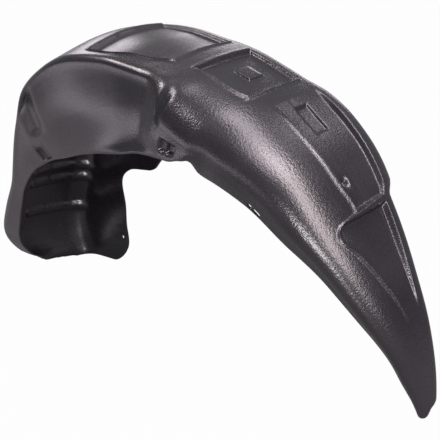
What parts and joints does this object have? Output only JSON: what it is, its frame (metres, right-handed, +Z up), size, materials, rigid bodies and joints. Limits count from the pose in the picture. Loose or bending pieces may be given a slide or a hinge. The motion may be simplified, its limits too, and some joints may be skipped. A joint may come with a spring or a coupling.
{
  "type": "wheel arch liner",
  "caption": "Thin moulded arch shell with a wide crown, a smooth front flank, a folded tail flange and a C-shaped leg, for lining a car's wheel arch.",
  "frame": {"origin": "the wheel's axis, in the plane of the back wall's outer face", "axes": "+Y along the wheel's axis towards the back wall, +X towards the tail, +Z up"},
  "size_m": [0.7716, 0.1956, 0.4555],
  "materials": {
    "liner_plastic": "black moulded sheet with a fine leather grain and a satin sheen"
  },
  "bodies": {
    "root": {"liner": "liner_plastic"}
  },
  "joints": []
}
